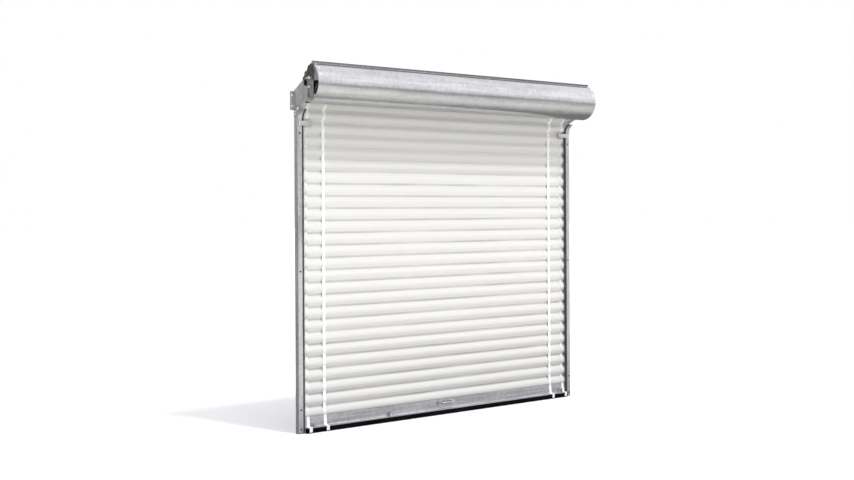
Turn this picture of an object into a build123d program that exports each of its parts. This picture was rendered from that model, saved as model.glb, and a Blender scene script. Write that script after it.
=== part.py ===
from build123d import *
from math import acos, asin, atan, atan2, ceil, cos, degrees, floor, hypot, pi, radians, sin
import os

# Roller shutter door: a corrugated steel curtain that runs in two wall guides and winds on a
# sprung drum under a half-round hood. Millimetres, Z up, X along the wall, +Y into the wall.
# The origin is on the floor, midway between the guides and midway between wall and hood front.

# Doorway and guides
guide_outer_x = 1262.0
guide_face_width = 33.0
guide_depth = 40.0
guide_back_width = 62.0
guide_steel = 1.6
guide_height = 2140.0
flare_rise = 72.0
flare_radius = 81.0
anchor_first_z = 158.0
anchor_pitch = 914.4
anchor_count = 3
anchor_hole_radius = 5.0
access_hole_radius = 7.0
guide_hole_inset = 14.85
foot_screw_z = 30.0
guide_seal_width = 15.0
guide_seal_lap = 11.0
guide_seal_bottom_z = 3.0
guide_seal_lip = 2.0

# Curtain sheet
corrugation_pitch = 82.55
corrugation_depth = 16.0
groove_chord = 30.55
sheet_thickness = 0.8
curtain_side_gap = 10.4
groove_plane = 10.0
sheet_foot_gap = 2.175
foot_corrugation_count = 1.5
sheet_corrugation_count = 6
sheet_count = 4
joint_gap = 0.3
head_turn = 100.0

# Wear tapes
tape_insets = [65.0, 200.0]
tape_width = 23.0
tape_thickness = 1.5
tape_gap = 0.1
tape_tail_z = 8.0
tape_splice_gap = 1.0
tape_corner_gap = 0.6

# Axle, drum and springs
axle_radius = 24.15
axle_wall = 3.2
axle_rise = 164.0
axle_out = 185.0
axle_end_overhang = 28.0
running_clearance = 0.05
wheel_radius = 70.0
wheel_count = 5
wheel_end_inset = 25.0
wheel_rim_width = 24.0
wheel_rim_thickness = 3.0
wheel_disc_thickness = 2.5
wheel_hub_length = 40.0
wheel_hub_radius = 34.0
bearing_radius = 30.0
lightening_hole_radius = 9.0
lightening_hole_count = 6
wrap_corrugation_count = 6
drum_gap = 2.2
spring_inner_radius = 35.0
spring_wire = 7.0
spring_length = 480.0
collar_radius = 44.0
collar_plate = 5.0
collar_boss_radius = 33.0
collar_length = 24.0
seat_gap = 0.3

# Hood and end plates
hood_radius = 133.0
hood_steel = 0.8
hood_overhang = 13.0
hood_first_angle = 21.7
hood_last_angle = 190.8
hood_rib_height = 15.0
hood_hem = 9.0
end_plate_steel = 2.0
end_flange_width = 16.0
end_flange_steel = 1.5
end_flange_first_angle = 25.0
plate_ear_turn = 1.5
plate_ear_rise = 9.0
plate_arm_rise = 9.0
plate_axle_gap = 2.0
plate_slot_height = 30.0
plate_slot_width = 9.0
plate_slot_forward = 60.0
plate_slot_rise = 67.0
# Stepped upper edge of the end plate: distance toward the wall from the axle, and rise above it
plate_edge = [(77.0, 41.0), (58.0, 49.0), (35.0, 67.0), (13.0, 111.0)]

# Wall brackets and axle clamps
bracket_steel = 3.0
bracket_width = 31.0
bracket_below_head = 1.0
bracket_flange_height = 125.0
bracket_lap = 39.0
bracket_hole_radius = 5.5
bracket_hole_rises = [26.0, 99.0]
bracket_hole_inset = 17.0
gusset_toe_inset = 4.0
gusset_toe_rise = 9.0
gusset_knee_back = 74.0
gusset_knee_drop = 23.0
gusset_foot_back = 10.0
gusset_drop = 101.0
gusset_rise = 38.0
gusset_nose = 55.0
gusset_corner_rise = 4.0
gusset_corner_inset = 22.0
gusset_shoulder_back = 77.0
gusset_shoulder_rise = 22.0
side_bolt_out = 18.0
side_bolt_drops = [27.0, 11.0]
clamp_rod_radius = 5.0
clamp_inset = 17.0
clamp_gap = 0.1
clamp_thread = 4.0
clamp_plate_drop = 2.0
hole_clearance = 0.3

# Bottom bar, angle, seal and stops
bar_steel = 2.0
bar_end_inset = 6.0
bar_rise = 6.0
bar_front_height = 67.0
bar_back_height = 55.0
bar_gap = 0.2
angle_leg = 38.0
angle_steel = 4.0
angle_fillet = 4.4
angle_side_gap = 4.0
seal_height = 34.0
seal_depth = 30.0
seal_round = 9.0
seal_inset = 2.0
lug_height = 27.0
lug_steel = 4.0
lug_width = 22.0
lug_inset = 60.0
lug_back_gap = 6.0
lug_front_inset = 5.0
stop_height = 33.0
stop_steel = 3.0
stop_ledge = 24.0
stop_overlap = 2.0
stop_outer_inset = 6.0
stop_rivet_inset_x = 18.15
stop_rivet_inset_z = 9.0

# Lift handle and tab
handle_span = 120.0
handle_rod_radius = 5.0
handle_reach = 29.0
handle_bend = 14.0
handle_rise = 46.0
handle_pad_width = 40.0
handle_pad_height = 50.0
handle_pad_corner = 18.0
handle_pad_drop = 10.0
handle_pad_steel = 2.0
pad_rivet_drop = 23.0
tab_x = -505.0
tab_width = 36.0
tab_height = 26.0
tab_foot_length = 19.0
tab_inset = 1.0

# Fasteners
rivet_radius = 3.2
rivet_head_radius = 6.0
rivet_head_height = 3.0
rivet_dome = 2.1
rivet_rise = 20.9
rivet_count = 8
rivet_pitch = 290.0
bolt_radius = 4.0
bolt_head_across = 13.0
bolt_head_height = 5.3
nut_height = 6.5
clamp_nut_across = 17.0
clamp_nut_height = 8.0
nut_chamfer = 0.8
screw_head_radius = 6.5
screw_head_height = 2.5
screw_length = 9.0
screw_hole_overcut = 3.0
hood_screw_angles = [30.0, 50.0, 70.0]

# Worked out from the sizes above
wall_y = (axle_out + hood_radius) / 2
axle_y = wall_y - axle_out
axle_z = guide_height + axle_rise
axle_end_x = guide_outer_x + axle_end_overhang
curtain_half_width = guide_outer_x - guide_steel - curtain_side_gap
hood_half_width = guide_outer_x + hood_overhang
bracket_outer_x = guide_outer_x + bracket_width
bracket_hole_x = guide_outer_x + bracket_hole_inset
clamp_x = guide_outer_x + clamp_inset
flare_start_z = guide_height - flare_rise
bracket_flange_bottom_z = guide_height - bracket_below_head
bracket_flange_top_z = bracket_flange_bottom_z + bracket_flange_height
bracket_hole_zs = [bracket_flange_bottom_z + rise for rise in bracket_hole_rises]
angle_bottom_z = seal_height
bar_bottom_z = angle_bottom_z + bar_rise
bar_front_top_z = bar_bottom_z + bar_front_height
bar_back_top_z = bar_bottom_z + bar_back_height
lowest_groove_z = bar_bottom_z + bar_steel + sheet_foot_gap + foot_corrugation_count * corrugation_pitch
straight_corrugation_count = round((flare_start_z - lowest_groove_z) / corrugation_pitch)
sheet_joints = [sheet_corrugation_count * step - foot_corrugation_count for step in range(sheet_count)]
sheet_joints.append(straight_corrugation_count)
flank_angle = 2 * atan(2 * corrugation_depth / corrugation_pitch)
groove_radius = groove_chord / 2 / sin(flank_angle)
crest_chord = corrugation_pitch - groove_chord
crest_radius = crest_chord / 2 / sin(flank_angle)
half_sheet = sheet_thickness / 2
bend_z = lowest_groove_z + sheet_joints[-1] * corrugation_pitch
wrap_groove_radius = wheel_radius + half_sheet + corrugation_depth
head_groove_radius = wrap_groove_radius + half_sheet + drum_gap + corrugation_depth + half_sheet
bend_to_axle_out = axle_out - groove_plane
bend_to_axle_up = axle_z - bend_z
bend_to_axle = hypot(bend_to_axle_out, bend_to_axle_up)
lean = acos(head_groove_radius / bend_to_axle) - atan2(bend_to_axle_up, bend_to_axle_out)
lean_length = (bend_to_axle**2 - head_groove_radius**2) ** 0.5
lip_x = guide_outer_x - guide_face_width
seal_inner_x = lip_x - guide_seal_width
bar_half_width = curtain_half_width - bar_end_inset
angle_half_width = seal_inner_x - angle_side_gap
lug_inner_x = angle_half_width - lug_inset
stop_inner_x = lug_inner_x - stop_overlap
stop_outer_x = guide_outer_x - stop_outer_inset
stop_bottom_z = flare_start_z - stop_height
tape_xs = [side * (curtain_half_width - inset) for side in (-1, 1) for inset in tape_insets]
tape_places = sorted(tape_xs)
wheel_pitch = 2 * (curtain_half_width - wheel_end_inset) / (wheel_count - 1)
wheel_places = [(step - (wheel_count - 1) / 2) * wheel_pitch for step in range(wheel_count)]
flare_angle = degrees(asin(flare_rise / flare_radius))
angle_back = groove_plane + corrugation_depth + half_sheet + bar_gap + bar_steel
angle_face = angle_back + angle_steel
guide_seal_front = guide_depth - guide_steel
guide_seal_back = angle_back + seat_gap
angle_top_z = angle_bottom_z + angle_steel
angle_tip = angle_back + angle_leg
seal_front = angle_tip - seal_inset
lug_top_z = angle_top_z + lug_height
hood_inner = hood_radius - hood_steel
screw_x = guide_outer_x - end_flange_width / 2

os.makedirs("parts", exist_ok=True)


def out(distance):
    """Y of a point that stands this far out from the wall."""
    return wall_y - distance


def save(shape, name):
    """Label a finished piece and write it under its own name."""
    shape.label = name
    export_step(shape, f"parts/{name}.step")


def along_x(outline, low_x, high_x):
    """A straight piece along X, from its outline as (distance out from the wall, height)."""
    with BuildPart() as piece:
        with BuildSketch(Plane.YZ.offset(low_x)):
            with BuildLine():
                Polyline(*[(out(d), z) for d, z in outline], close=True)
            make_face()
        extrude(amount=high_x - low_x)
    return piece.part


def mirrored(shape):
    """The same piece for the other side of the doorway."""
    return mirror(shape, about=Plane.YZ)


def group(shapes):
    """Separate solids that share one node."""
    return Compound(children=list(shapes))


def round_x(distance, z, low_x, high_x, radius):
    """A round bar along X, kept apart from any open block."""
    return Pos(low_x, out(distance), z) * Rot(0, 90, 0) * Cylinder(
        radius, high_x - low_x, align=(Align.CENTER, Align.CENTER, Align.MIN), mode=Mode.PRIVATE
    )


def round_y(x, z, low_out, high_out, radius):
    """A round bar square to the wall, between two distances out from it."""
    return Pos(x, out(low_out), z) * Rot(90, 0, 0) * Cylinder(
        radius, high_out - low_out, align=(Align.CENTER, Align.CENTER, Align.MIN), mode=Mode.PRIVATE
    )


def facing_room(x, distance, z):
    """Plane parallel to the wall that faces into the room."""
    return Plane(origin=(x, out(distance), z), x_dir=(1, 0, 0), z_dir=(0, -1, 0))


def hexagon_prism(across, height, plane):
    """A hexagon head or nut that grows from a plane."""
    with BuildPart() as piece:
        with BuildSketch(plane):
            RegularPolygon(across / 2, 6, major_radius=False)
        extrude(amount=height)
        chamfer(piece.faces().sort_by(Axis(plane.origin, plane.z_dir))[-1].edges(), nut_chamfer)
    return piece.part


# Corrugated sheet: groove and crest arcs that meet tangent to each other
def sheet_point(run, offset):
    """Place on a flat sheet: run from the lowest groove, and height toward the front."""
    step = floor((run + groove_chord / 2) / corrugation_pitch)
    local = run - step * corrugation_pitch
    if local <= groove_chord / 2:
        turn = asin(local / groove_radius)
        reach = groove_radius - offset
        return step * corrugation_pitch + reach * sin(turn), groove_radius - reach * cos(turn)
    local -= corrugation_pitch / 2
    turn = asin(local / crest_radius)
    reach = crest_radius + offset
    centre = (step + 0.5) * corrugation_pitch
    return centre + reach * sin(turn), corrugation_depth - crest_radius + reach * cos(turn)


def arc_breaks(start, end):
    """Runs at which one arc of the sheet passes into the next."""
    breaks = [start]
    first = floor(start / corrugation_pitch) - 1
    last = ceil(end / corrugation_pitch) + 1
    for step in range(first, last):
        for side in (-1, 1):
            run = step * corrugation_pitch + side * groove_chord / 2
            if start + 0.01 < run < end - 0.01:
                breaks.append(run)
    return breaks + [end]


def on_straight(run, offset):
    """Sheet in the guides, upright."""
    along, height = sheet_point(run, offset)
    return out(groove_plane + height), lowest_groove_z + along


def on_head(run, offset):
    """Sheet above the guides: it leans to the drum, then passes over it."""
    along, height = sheet_point(run, offset)
    past_bend = along - sheet_joints[-1] * corrugation_pitch
    if past_bend <= lean_length:
        y = out(groove_plane) - past_bend * sin(lean) - height * cos(lean)
        return y, bend_z + past_bend * cos(lean) - height * sin(lean)
    turn = lean + (past_bend - lean_length) / (head_groove_radius - corrugation_depth / 2)
    reach = head_groove_radius - height
    return axle_y + reach * cos(turn), axle_z + reach * sin(turn)


def on_wrap(run, offset):
    """First turn of sheet, closed on itself round the drum wheels."""
    along, height = sheet_point(run, offset)
    turn = 2 * pi * along / (wrap_corrugation_count * corrugation_pitch)
    reach = wrap_groove_radius - height
    return axle_y + reach * cos(turn), axle_z + reach * sin(turn)


def arcs(place, breaks, offset):
    """Arcs of one face of the sheet."""
    for start, end in zip(breaks[:-1], breaks[1:]):
        ThreePointArc(place(start, offset), place((start + end) / 2, offset), place(end, offset))


def corrugated(place, start, end, inner, outer, low_x, high_x):
    """A strip of sheet or tape along X that follows the corrugations."""
    breaks = arc_breaks(start, end)
    with BuildPart() as piece:
        with BuildSketch(Plane.YZ.offset(low_x)):
            with BuildLine():
                arcs(place, breaks, outer)
                Line(place(end, outer), place(end, inner))
                arcs(place, breaks, inner)
                Line(place(start, inner), place(start, outer))
            make_face()
        extrude(amount=high_x - low_x)
    return piece.part


# Wall guides
def flare_arc(radius):
    """Arc of the mouth, from the upright face out to its lip."""
    centre = guide_depth + flare_radius
    points = []
    for share in (0, 0.5, 1):
        turn = radians(flare_angle * share)
        points.append((out(centre - radius * cos(turn)), flare_start_z + radius * sin(turn)))
    return points


def flared_strip(front, thickness, low_x, high_x, low_z):
    """A strip that runs up the face of a guide and round its mouth."""
    near = flare_arc(flare_radius + guide_depth - front)
    far = flare_arc(flare_radius + guide_depth - front + thickness)
    with BuildPart() as piece:
        with BuildSketch(Plane.YZ.offset(low_x)):
            with BuildLine():
                Line((out(front), low_z), near[0])
                ThreePointArc(*near)
                Line(near[2], far[2])
                ThreePointArc(*far)
                Line(far[0], (out(front - thickness), low_z))
                Line((out(front - thickness), low_z), (out(front), low_z))
            make_face()
        extrude(amount=high_x - low_x)
    return piece.part


anchor_zs = [anchor_first_z + anchor_pitch * step for step in range(anchor_count)]
guide_hole_x = lip_x + guide_hole_inset
stop_rivet_x = lip_x + stop_rivet_inset_x
stop_rivet_zs = [stop_bottom_z + stop_rivet_inset_z, stop_bottom_z + stop_height - stop_rivet_inset_z]
side_bolt_zs = [bracket_flange_bottom_z - drop for drop in side_bolt_drops]
mouth = flare_arc(flare_radius)

with BuildPart() as guide_right:
    with BuildSketch(Plane.YZ.offset(guide_outer_x - guide_steel)):
        with BuildLine():
            Line((out(0), 0), (out(guide_depth), 0))
            Line((out(guide_depth), 0), mouth[0])
            ThreePointArc(*mouth)
            Line(mouth[2], (out(0), guide_height))
            Line((out(0), guide_height), (out(0), 0))
        make_face()
    extrude(amount=guide_steel)
    add(along_x(
        [(0, 0), (guide_steel, 0), (guide_steel, guide_height), (0, guide_height)],
        guide_outer_x - guide_back_width,
        guide_outer_x,
    ))
    add(flared_strip(guide_depth, guide_steel, lip_x, guide_outer_x, 0))
    for z in anchor_zs:
        add(round_y(guide_hole_x, z, 0, guide_steel, anchor_hole_radius), mode=Mode.SUBTRACT)
        add(round_y(guide_hole_x, z, guide_depth - guide_steel, guide_depth, access_hole_radius),
            mode=Mode.SUBTRACT)
    add(round_y(guide_hole_x, foot_screw_z, guide_depth - guide_steel, guide_depth,
                rivet_radius + hole_clearance), mode=Mode.SUBTRACT)
    for z in stop_rivet_zs:
        add(round_y(stop_rivet_x, z, guide_depth - guide_steel, guide_depth,
                    rivet_radius + hole_clearance), mode=Mode.SUBTRACT)
    for z in side_bolt_zs:
        add(round_x(side_bolt_out, z, guide_outer_x - guide_steel, guide_outer_x,
                    bolt_radius + hole_clearance), mode=Mode.SUBTRACT)
save(guide_right.part, "guide_right")
save(mirrored(guide_right.part), "guide_left")

# Guide seals: a strip that bears on the bottom bar, and a thin lip that follows the mouth
with BuildPart() as guide_seal:
    add(flared_strip(guide_seal_front, guide_seal_lip, seal_inner_x, lip_x + guide_seal_lap,
                     guide_seal_bottom_z))
    add(along_x(
        [
            (guide_seal_back, guide_seal_bottom_z),
            (guide_seal_front, guide_seal_bottom_z),
            (guide_seal_front, flare_start_z),
            (guide_seal_back, flare_start_z),
        ],
        seal_inner_x,
        lip_x + guide_seal_lap,
    ))
save(guide_seal.part, "guide_seal_right")
save(mirrored(guide_seal.part), "guide_seal_left")

# Head stops: angles riveted across the guide faces, which catch the lugs of the bottom bar
with BuildPart() as head_stop:
    add(along_x(
        [
            (guide_depth, stop_bottom_z),
            (guide_depth + stop_steel, stop_bottom_z),
            (guide_depth + stop_steel, stop_bottom_z + stop_height),
            (guide_depth, stop_bottom_z + stop_height),
        ],
        stop_inner_x,
        stop_outer_x,
    ))
    add(along_x(
        [
            (guide_depth, stop_bottom_z),
            (guide_depth + stop_ledge, stop_bottom_z),
            (guide_depth + stop_ledge, stop_bottom_z + stop_steel),
            (guide_depth, stop_bottom_z + stop_steel),
        ],
        stop_inner_x,
        lip_x,
    ))
    for z in stop_rivet_zs:
        add(round_y(stop_rivet_x, z, guide_depth, guide_depth + stop_steel,
                    rivet_radius + hole_clearance), mode=Mode.SUBTRACT)
save(head_stop.part, "head_stop_right")
save(mirrored(head_stop.part), "head_stop_left")


def rivet_y(x, z, back, front):
    """A rivet square to the wall: shank from back to front, and its domed head on the front."""
    with BuildPart() as piece:
        with BuildSketch(facing_room(x, back, z)):
            Circle(rivet_radius)
        extrude(amount=front - back)
        with BuildSketch(facing_room(x, front, z)):
            Circle(rivet_head_radius)
        extrude(amount=rivet_head_height)
        fillet(piece.faces().sort_by(Axis.Y)[0].edges(), rivet_dome)
    return piece.part


stop_rivets = []
foot_screws = []
for side in (-1, 1):
    for z in stop_rivet_zs:
        stop_rivets.append(rivet_y(side * stop_rivet_x, z, guide_depth - guide_steel,
                                   guide_depth + stop_steel))
    foot_screws.append(rivet_y(side * guide_hole_x, foot_screw_z, guide_depth - guide_steel, guide_depth))
save(group(stop_rivets), "head_stop_rivets")
save(group(foot_screws), "guide_foot_screws")

# Wall brackets: wall flange, gusset and the upright plate that the axle is clamped to
clamp_plate_back = axle_out + axle_radius + clamp_gap
clamp_plate_front = clamp_plate_back + bracket_steel
clamp_offset = axle_radius + clamp_gap + clamp_rod_radius
clamp_zs = [axle_z - clamp_offset, axle_z + clamp_offset]
gusset_bottom_z = bracket_flange_bottom_z - bracket_lap
gusset_toe = guide_depth - gusset_toe_inset
gusset_low_z = axle_z - gusset_drop
gusset_top_z = axle_z + gusset_rise
gusset_front = axle_out + gusset_nose
gusset_outline = [
    (0, gusset_bottom_z),
    (gusset_toe, gusset_bottom_z),
    (gusset_toe, bracket_flange_bottom_z + gusset_toe_rise),
    (axle_out - gusset_knee_back, gusset_low_z - gusset_knee_drop),
    (axle_out - gusset_foot_back, gusset_low_z),
    (gusset_front, gusset_low_z),
    (gusset_front, axle_z + gusset_corner_rise),
    (gusset_front - gusset_corner_inset, gusset_top_z),
    (axle_out - gusset_shoulder_back, axle_z + gusset_shoulder_rise),
    (0, bracket_flange_top_z),
]
clamp_plate_top_z = gusset_top_z - clamp_plate_drop
with BuildPart() as bracket_right:
    add(along_x(gusset_outline, guide_outer_x, guide_outer_x + bracket_steel))
    add(along_x(
        [
            (0, bracket_flange_bottom_z),
            (bracket_steel, bracket_flange_bottom_z),
            (bracket_steel, bracket_flange_top_z),
            (0, bracket_flange_top_z),
        ],
        guide_outer_x,
        bracket_outer_x,
    ))
    add(along_x(
        [
            (clamp_plate_back, gusset_low_z),
            (clamp_plate_front, gusset_low_z),
            (clamp_plate_front, clamp_plate_top_z),
            (clamp_plate_back, clamp_plate_top_z),
        ],
        guide_outer_x,
        bracket_outer_x,
    ))
    add(round_x(axle_out, axle_z, guide_outer_x, guide_outer_x + bracket_steel, axle_radius + clamp_gap),
        mode=Mode.SUBTRACT)
    for z in side_bolt_zs:
        add(round_x(side_bolt_out, z, guide_outer_x, guide_outer_x + bracket_steel,
                    bolt_radius + hole_clearance), mode=Mode.SUBTRACT)
    for z in bracket_hole_zs:
        add(round_y(bracket_hole_x, z, 0, bracket_steel, bracket_hole_radius), mode=Mode.SUBTRACT)
    for z in clamp_zs:
        add(round_y(clamp_x, z, clamp_plate_back, clamp_plate_front, clamp_rod_radius + hole_clearance),
            mode=Mode.SUBTRACT)
save(bracket_right.part, "bracket_right")
save(mirrored(bracket_right.part), "bracket_left")


def side_bolt(z):
    """Bolt and nut that hold the gusset to the side of the guide."""
    head_plane = Plane(
        origin=(guide_outer_x + bracket_steel, out(side_bolt_out), z), x_dir=(0, 1, 0), z_dir=(1, 0, 0)
    )
    nut_plane = Plane(
        origin=(guide_outer_x - guide_steel, out(side_bolt_out), z), x_dir=(0, 1, 0), z_dir=(-1, 0, 0)
    )
    with BuildPart() as piece:
        add(hexagon_prism(bolt_head_across, bolt_head_height, head_plane))
        add(hexagon_prism(bolt_head_across, nut_height, nut_plane))
        add(round_x(side_bolt_out, z, guide_outer_x - guide_steel, guide_outer_x + bracket_steel,
                    bolt_radius))
    return piece.part


side_bolts = [side_bolt(z) for z in side_bolt_zs]
save(group(side_bolts + [mirrored(bolt) for bolt in side_bolts]), "bracket_bolts")

# Axle pipe and the U bolts that clamp it to the brackets
with BuildPart() as axle:
    with BuildSketch(Plane.YZ.offset(-axle_end_x)):
        with Locations((axle_y, axle_z)):
            Circle(axle_radius)
            Circle(axle_radius - axle_wall, mode=Mode.SUBTRACT)
    extrude(amount=2 * axle_end_x)
save(axle.part, "axle")

clamp_tip = clamp_plate_front + clamp_nut_height + clamp_thread
with BuildPart() as u_bolt:
    with BuildLine() as u_path:
        Line((clamp_x, out(clamp_tip), clamp_zs[0]), (clamp_x, axle_y, clamp_zs[0]))
        ThreePointArc(
            (clamp_x, axle_y, clamp_zs[0]),
            (clamp_x, axle_y + clamp_offset, axle_z),
            (clamp_x, axle_y, clamp_zs[1]),
        )
        Line((clamp_x, axle_y, clamp_zs[1]), (clamp_x, out(clamp_tip), clamp_zs[1]))
    with BuildSketch(Plane(origin=u_path.line @ 0, z_dir=u_path.line % 0)):
        Circle(clamp_rod_radius)
    sweep(path=u_path.line)
save(group([u_bolt.part, mirrored(u_bolt.part)]), "axle_u_bolts")


def clamp_nut(z):
    """Nut on one leg of a U bolt."""
    with BuildPart() as piece:
        add(hexagon_prism(clamp_nut_across, clamp_nut_height, facing_room(clamp_x, clamp_plate_front, z)))
        add(round_y(clamp_x, z, clamp_plate_front, clamp_plate_front + clamp_nut_height,
                    clamp_rod_radius + running_clearance), mode=Mode.SUBTRACT)
    return piece.part


clamp_nuts = [clamp_nut(z) for z in clamp_zs]
save(group(clamp_nuts + [mirrored(nut) for nut in clamp_nuts]), "axle_clamp_nuts")


# Hood and its end plates. Angles run from the top of the axle toward the front
def round_axle(radius, angle):
    """Point round the axle in a cross section."""
    return axle_y - radius * sin(radians(angle)), axle_z + radius * cos(radians(angle))


def ring_sector(inner, outer, first, last, low_x, high_x):
    """Part of a round shell about the axle."""
    middle = (first + last) / 2
    with BuildPart() as piece:
        with BuildSketch(Plane.YZ.offset(low_x)):
            with BuildLine():
                ThreePointArc(*[round_axle(outer, angle) for angle in (first, middle, last)])
                Line(round_axle(outer, last), round_axle(inner, last))
                ThreePointArc(*[round_axle(inner, angle) for angle in (last, middle, first)])
                Line(round_axle(inner, first), round_axle(outer, first))
            make_face()
        extrude(amount=high_x - low_x)
    return piece.part


def round_radial(x, angle, inner, outer, radius):
    """A round bar that points out from the axle, between two radii."""
    direction = (0, -sin(radians(angle)), cos(radians(angle)))
    foot = Plane(origin=(x, *round_axle(inner, angle)), x_dir=(1, 0, 0), z_dir=direction)
    return foot * Cylinder(
        radius, outer - inner, align=(Align.CENTER, Align.CENTER, Align.MIN), mode=Mode.PRIVATE
    )


rib_turn = degrees(2 * hood_steel / hood_radius)
hem_turn = degrees(hood_steel / hood_radius)
with BuildPart() as hood:
    add(ring_sector(hood_inner, hood_radius, hood_first_angle, hood_last_angle,
                    -hood_half_width, hood_half_width))
    add(ring_sector(hood_inner, hood_radius + hood_rib_height, hood_first_angle,
                    hood_first_angle + rib_turn, -hood_half_width, hood_half_width))
    add(ring_sector(hood_inner - hood_hem, hood_radius, hood_last_angle - hem_turn, hood_last_angle,
                    -hood_half_width, hood_half_width))
    for x in (-screw_x, screw_x):
        for angle in hood_screw_angles:
            add(round_radial(x, angle, hood_inner - screw_hole_overcut, hood_radius + screw_hole_overcut,
                             rivet_radius), mode=Mode.SUBTRACT)
save(hood.part, "hood")

plate_reach = hood_inner - seat_gap
plate_ear_angle = hood_first_angle - plate_ear_turn
end_plate_last_angle = degrees(acos(plate_arm_rise / plate_reach))
plate_nose = round_axle(plate_reach, end_plate_last_angle)
plate_foot = (out(axle_out - plate_edge[0][0]), axle_z + plate_arm_rise)
with BuildPart() as end_plate:
    with BuildSketch(Plane.YZ.offset(guide_outer_x - end_plate_steel)):
        with BuildLine():
            Polyline(
                plate_foot,
                *[(out(axle_out - back), axle_z + rise) for back, rise in plate_edge],
                round_axle(hood_radius + plate_ear_rise, plate_ear_angle),
                round_axle(plate_reach, plate_ear_angle),
            )
            ThreePointArc(
                round_axle(plate_reach, plate_ear_angle),
                round_axle(plate_reach, (plate_ear_angle + end_plate_last_angle) / 2),
                plate_nose,
            )
            Line(plate_nose, plate_foot)
        make_face()
        with Locations((out(axle_out + plate_slot_forward), axle_z + plate_slot_rise)):
            Rectangle(plate_slot_width, plate_slot_height, mode=Mode.SUBTRACT)
    extrude(amount=end_plate_steel)
    add(round_x(axle_out, axle_z, guide_outer_x - end_plate_steel, guide_outer_x,
                axle_radius + plate_axle_gap), mode=Mode.SUBTRACT)
    add(ring_sector(plate_reach - end_flange_steel, plate_reach, end_flange_first_angle,
                    end_plate_last_angle, guide_outer_x - end_flange_width, guide_outer_x))
    for angle in hood_screw_angles:
        add(round_radial(screw_x, angle, plate_reach - end_flange_steel - screw_hole_overcut,
                         plate_reach + screw_hole_overcut, rivet_radius), mode=Mode.SUBTRACT)
save(end_plate.part, "end_plate_right")
save(mirrored(end_plate.part), "end_plate_left")


def hood_screw(angle):
    """Pan head screw that holds the hood down on the end plate's flange."""
    with BuildPart() as piece:
        add(round_radial(screw_x, angle, hood_radius, hood_radius + screw_head_height, screw_head_radius))
        add(round_radial(screw_x, angle, hood_radius - screw_length, hood_radius,
                         rivet_radius - hole_clearance))
    return piece.part


hood_screws = [hood_screw(angle) for angle in hood_screw_angles]
save(group(hood_screws + [mirrored(screw) for screw in hood_screws]), "hood_screws")

# Drum: five wheels on bushes, with the first turn of sheet closed round them
for number, x in enumerate(wheel_places, start=1):
    with BuildPart() as wheel:
        with BuildSketch(Plane.YZ.offset(x - wheel_rim_width / 2)):
            with Locations((axle_y, axle_z)):
                Circle(wheel_radius)
                Circle(wheel_radius - wheel_rim_thickness, mode=Mode.SUBTRACT)
        extrude(amount=wheel_rim_width)
        with BuildSketch(Plane.YZ.offset(x - wheel_disc_thickness / 2)):
            with Locations((axle_y, axle_z)):
                Circle(wheel_radius - wheel_rim_thickness / 2)
                Circle(bearing_radius, mode=Mode.SUBTRACT)
                with PolarLocations((wheel_radius + wheel_hub_radius) / 2, lightening_hole_count):
                    Circle(lightening_hole_radius, mode=Mode.SUBTRACT)
        extrude(amount=wheel_disc_thickness)
        with BuildSketch(Plane.YZ.offset(x - wheel_hub_length / 2)):
            with Locations((axle_y, axle_z)):
                Circle(wheel_hub_radius)
                Circle(bearing_radius, mode=Mode.SUBTRACT)
        extrude(amount=wheel_hub_length)
    save(wheel.part, f"drum_wheel_{number}")
    with BuildPart() as bearing:
        with BuildSketch(Plane.YZ.offset(x - wheel_hub_length / 2)):
            with Locations((axle_y, axle_z)):
                Circle(bearing_radius)
                Circle(axle_radius + running_clearance, mode=Mode.SUBTRACT)
        extrude(amount=wheel_hub_length)
    save(bearing.part, f"drum_bearing_{number}")

wrap_breaks = arc_breaks(-groove_chord / 2, wrap_corrugation_count * corrugation_pitch - groove_chord / 2)
with BuildPart() as drum_wrap:
    with BuildSketch(Plane.YZ.offset(-curtain_half_width)):
        with BuildLine():
            arcs(on_wrap, wrap_breaks, -half_sheet)
        make_face()
        with BuildLine():
            arcs(on_wrap, wrap_breaks, half_sheet)
        make_face(mode=Mode.SUBTRACT)
    extrude(amount=2 * curtain_half_width)
save(drum_wrap.part, "drum_sheet")

# Counterbalance springs, each between an end wheel and a collar that is fixed to the axle
spring_end_x = wheel_places[-1] - wheel_hub_length / 2 - seat_gap
collar_x = spring_end_x - spring_length - collar_plate
with BuildPart() as spring:
    with BuildSketch(Plane.YZ.offset(collar_x + collar_plate)):
        with Locations((axle_y, axle_z)):
            Circle(spring_inner_radius + spring_wire)
            Circle(spring_inner_radius, mode=Mode.SUBTRACT)
    extrude(amount=spring_length)
save(spring.part, "spring_right")
save(mirrored(spring.part), "spring_left")

with BuildPart() as collar:
    with BuildSketch(Plane.YZ.offset(collar_x)):
        with Locations((axle_y, axle_z)):
            Circle(collar_radius)
            Circle(axle_radius, mode=Mode.SUBTRACT)
    extrude(amount=collar_plate)
    with BuildSketch(Plane.YZ.offset(collar_x + collar_plate)):
        with Locations((axle_y, axle_z)):
            Circle(collar_boss_radius)
            Circle(axle_radius, mode=Mode.SUBTRACT)
    extrude(amount=collar_length)
save(group([collar.part, mirrored(collar.part)]), "spring_collars")

# Curtain sheets, from the bottom bar up to the mouths of the guides
for number, (first, last) in enumerate(zip(sheet_joints[:-1], sheet_joints[1:]), start=1):
    start = first * corrugation_pitch
    end = last * corrugation_pitch
    if number == len(sheet_joints) - 1:
        end -= joint_gap
    sheet = corrugated(on_straight, start, end, -half_sheet, half_sheet,
                       -curtain_half_width, curtain_half_width)
    save(sheet, f"curtain_sheet_{number}")

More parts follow.
